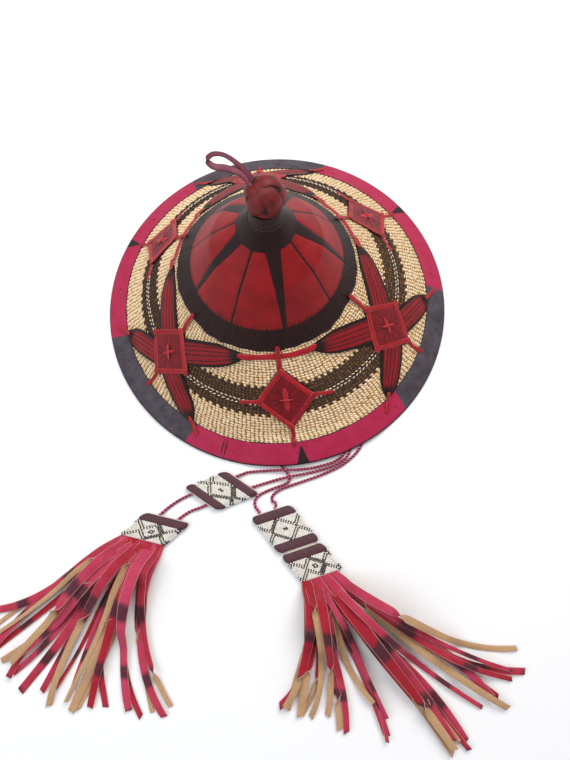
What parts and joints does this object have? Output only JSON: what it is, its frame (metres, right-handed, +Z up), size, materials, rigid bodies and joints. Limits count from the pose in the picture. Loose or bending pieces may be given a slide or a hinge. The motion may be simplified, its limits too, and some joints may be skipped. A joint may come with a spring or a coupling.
{
  "type": "conical straw hat with leather trim and tasselled chin ties",
  "caption": "Wide conical straw hat with a leather crown cover and rim band, laced leather patches, a knotted top with a loop, and beaded, tasselled chin ties lying beside it.",
  "frame": {"origin": "centre of the rim, on the surface that the rim rests on", "axes": "+Z up along the crown, -Y towards the ties and tassels in front"},
  "size_m": [0.5779, 0.7417, 0.2632],
  "materials": {
    "straw": "twined natural straw with dark dyed rows",
    "crown_leather": "dyed red goat leather with dark rays",
    "rim_leather": "leather dyed pink and charcoal in sections",
    "patch_leather": "dark red folded leather",
    "thong_leather": "red leather lacing",
    "dark_leather": "dark brown leather",
    "knot_leather": "dark red interlaced leather strips",
    "tie_cord": "twisted pink leather cord",
    "beadwork": "opaque white and black seed beads on leather",
    "fringe_leather": "cut leather strips, dyed on the grain side and tan suede behind"
  },
  "bodies": {
    "root": {"straw_body": "straw", "crown_cover": "crown_leather", "rim_binding": "rim_leather", "neck_wrap": "dark_leather", "top_knot": "knot_leather", "hanging_loop": "knot_leather", "patch_1": "patch_leather", "inner_thong_1": "thong_leather", "outer_thong_1": "thong_leather", "hem_thong_1": "thong_leather", "side_thong_1_right": "thong_leather", "side_thong_1_left": "thong_leather", "patch_2": "patch_leather", "inner_thong_2": "thong_leather", "outer_thong_2": "thong_leather", "upper_arm_2_right": "dark_leather", "upper_arm_2_left": "dark_leather", "lower_arm_2_right": "dark_leather", "lower_arm_2_left": "dark_leather", "patch_3": "patch_leather", "inner_thong_3": "thong_leather", "outer_thong_3": "thong_leather", "hem_thong_3": "thong_leather", "side_thong_3_right": "thong_leather", "side_thong_3_left": "thong_leather", "patch_4": "patch_leather", "inner_thong_4": "thong_leather", "outer_thong_4": "thong_leather", "upper_arm_4_right": "dark_leather", "upper_arm_4_left": "dark_leather", "lower_arm_4_right": "dark_leather", "lower_arm_4_left": "dark_leather", "patch_5": "patch_leather", "inner_thong_5": "thong_leather", "outer_thong_5": "thong_leather", "hem_thong_5": "thong_leather", "side_thong_5_right": "thong_leather", "side_thong_5_left": "thong_leather", "patch_6": "patch_leather", "inner_thong_6": "thong_leather", "outer_thong_6": "thong_leather", "upper_arm_6_right": "dark_leather", "upper_arm_6_left": "dark_leather", "lower_arm_6_right": "dark_leather", "lower_arm_6_left": "dark_leather", "tie_tab_right": "dark_leather", "tie_tab_left": "dark_leather", "right_tie_1": "tie_cord", "right_tie_2": "tie_cord", "left_tie_1": "tie_cord", "left_tie_2": "tie_cord", "head_cord_1": "tie_cord", "head_cord_2": "tie_cord", "slider_left": "beadwork", "slider_right": "beadwork", "tassel_left": "fringe_leather", "tassel_right": "fringe_leather"}
  },
  "joints": []
}
